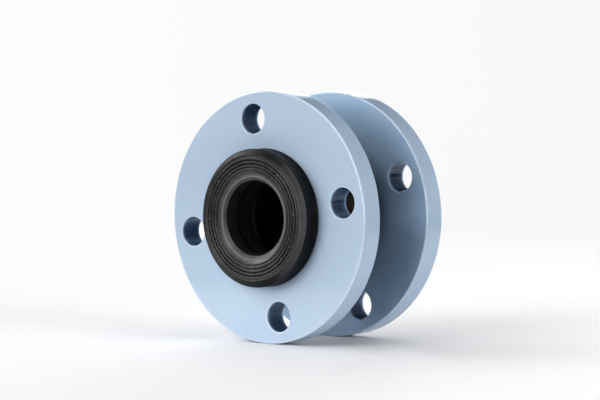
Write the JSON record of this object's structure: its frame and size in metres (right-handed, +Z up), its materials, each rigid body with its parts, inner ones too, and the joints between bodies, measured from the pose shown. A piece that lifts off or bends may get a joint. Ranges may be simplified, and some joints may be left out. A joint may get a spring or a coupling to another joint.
{
  "type": "rubber expansion joint",
  "caption": "Flexible rubber pipe joint: a bulged bellows body with grooved sealing collars at its ends and loose round bolting flanges that swivel.",
  "frame": {"origin": "on the pipe axis, halfway between the two sealing faces", "axes": "+Y along the pipe axis from the front end to the rear end, +Z up as the joint stands on its flange rims, +X to the right seen from the front"},
  "size_m": [0.1524, 0.1018, 0.1524],
  "materials": {
    "flange_paint": "satin",
    "cover_rubber": "satin",
    "liner_rubber": "matte",
    "ply_cord": "matte",
    "bead_wire": "satin",
    "bead_fabric": "matte"
  },
  "bodies": {
    "rear_flange": {"rear_flange": "flange_paint"},
    "rear_end": {"rear_sealing_collar": "cover_rubber", "rear_bead_ring": "bead_wire", "rear_bead_wrap": "bead_fabric", "rear_bead_filler": "liner_rubber"},
    "rear_arch": {"inner_liner": "liner_rubber", "first_cord_ply": "ply_cord", "middle_rubber": "liner_rubber"},
    "front_arch": {"second_cord_ply": "ply_cord", "outer_cover": "cover_rubber"},
    "front_end": {"front_sealing_collar": "cover_rubber", "front_bead_ring": "bead_wire", "front_bead_wrap": "bead_fabric", "front_bead_filler": "liner_rubber"},
    "front_flange": {"front_flange": "flange_paint"}
  },
  "joints": [
    {"name": "rear_swivel", "type": "hinge", "parent": "rear_flange", "child": "rear_end", "pos_m": [0, 0.0301, 0], "axis": [0, 1, 0], "continuous": true},
    {"name": "rear_bend", "type": "hinge", "parent": "rear_end", "child": "rear_arch", "pos_m": [0, 0.0226, 0], "axis": [1, 0, 0], "range_deg": [-7.5, 7.5], "stiffness_Nm_per_rad": 200, "deforming": ["inner_liner", "first_cord_ply", "middle_rubber", "second_cord_ply", "outer_cover"]},
    {"name": "axial_travel", "type": "slide", "parent": "rear_arch", "child": "front_arch", "axis": [0, -1, 0], "range_m": [-0.008, 0.005], "stiffness_N_per_m": 40000, "deforming": ["inner_liner", "first_cord_ply", "middle_rubber", "second_cord_ply", "outer_cover"]},
    {"name": "front_bend", "type": "hinge", "parent": "front_arch", "child": "front_end", "pos_m": [0, -0.0226, 0], "axis": [1, 0, 0], "range_deg": [-7.5, 7.5], "stiffness_Nm_per_rad": 200, "deforming": ["inner_liner", "first_cord_ply", "middle_rubber", "second_cord_ply", "outer_cover"]},
    {"name": "front_swivel", "type": "hinge", "parent": "front_end", "child": "front_flange", "pos_m": [0, -0.0301, 0], "axis": [0, 1, 0], "continuous": true}
  ]
}
